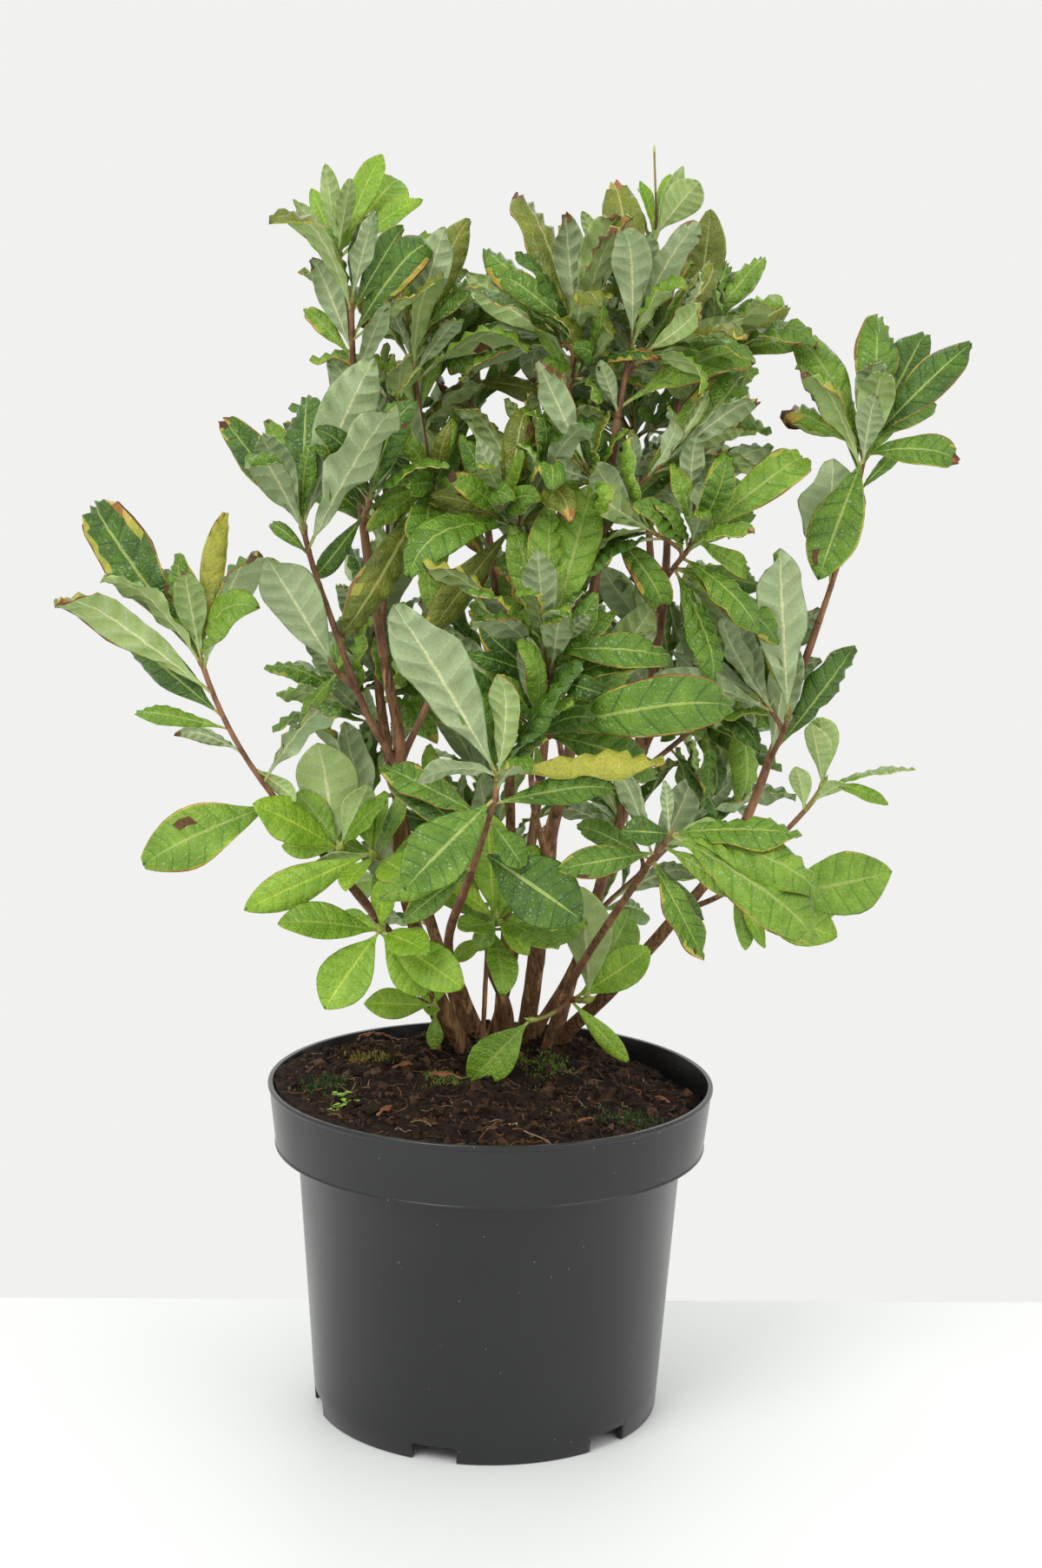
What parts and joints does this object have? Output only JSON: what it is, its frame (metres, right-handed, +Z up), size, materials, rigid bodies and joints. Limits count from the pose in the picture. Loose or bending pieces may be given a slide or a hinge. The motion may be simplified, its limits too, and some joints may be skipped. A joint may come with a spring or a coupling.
{
  "type": "potted shrub",
  "caption": "Leafy many-stemmed rhododendron shrub standing in a round, filled nursery pot with a banded rim and notched foot.",
  "frame": {"origin": "centre of the pot's flat underside, on the surface that it stands on", "axes": "+Z up along the pot's axis, +X to the viewer's right, +Y away from the viewer"},
  "size_m": [0.5512, 0.4448, 0.79],
  "materials": {
    "pot": "black injection-moulded plastic, satin",
    "soil": "dark brown fibrous peat",
    "bark": "thin flaky brown bark, reddish on younger shoots",
    "foliage": "living leaves and twigs, green with yellow and red margins"
  },
  "bodies": {
    "root": {"pot": "pot", "soil": "soil", "stem_left": "bark", "stem_far_left": "bark", "stem_centre": "bark", "stem_tall": "bark", "stem_front": "bark", "stem_right": "bark", "stem_right_front": "bark", "stem_right_back": "bark", "stem_back_left": "bark", "stem_back": "bark", "stem_back_right": "bark", "stem_low_left": "bark", "stem_low_front": "bark", "stem_stub": "bark", "bough_left_leader": "bark", "bough_left": "bark", "bough_left_inner": "bark", "bough_centre_right": "bark", "bough_centre_left": "bark", "bough_right": "bark", "bough_right_low": "bark", "bough_right_mid": "bark", "foliage_far_left": "foliage", "foliage_far_left_inner": "foliage", "foliage_left_upper": "foliage", "foliage_left_hanging": "foliage", "foliage_left_middle": "foliage", "foliage_top_left": "foliage", "foliage_inner_left": "foliage", "foliage_back_top": "foliage", "foliage_top_centre": "foliage", "foliage_centre_upper": "foliage", "foliage_top_right_centre": "foliage", "foliage_centre_right": "foliage", "foliage_top_right": "foliage", "foliage_right_middle": "foliage", "foliage_right_back_low": "foliage", "foliage_right_spray": "foliage", "foliage_right_side": "foliage", "foliage_right_low": "foliage", "foliage_right_lowest": "foliage", "foliage_right_front": "foliage", "foliage_low_right": "foliage", "foliage_front": "foliage", "foliage_front_low": "foliage", "foliage_centre": "foliage", "foliage_centre_low": "foliage", "foliage_low_left": "foliage", "foliage_left_low": "foliage", "foliage_foot_left": "foliage", "foliage_back_left_top": "foliage", "foliage_back_left": "foliage", "foliage_back_left_low": "foliage", "foliage_back_middle": "foliage", "foliage_back_low": "foliage", "foliage_back_right_top": "foliage", "foliage_back_right": "foliage", "foliage_back_right_low": "foliage"}
  },
  "joints": []
}
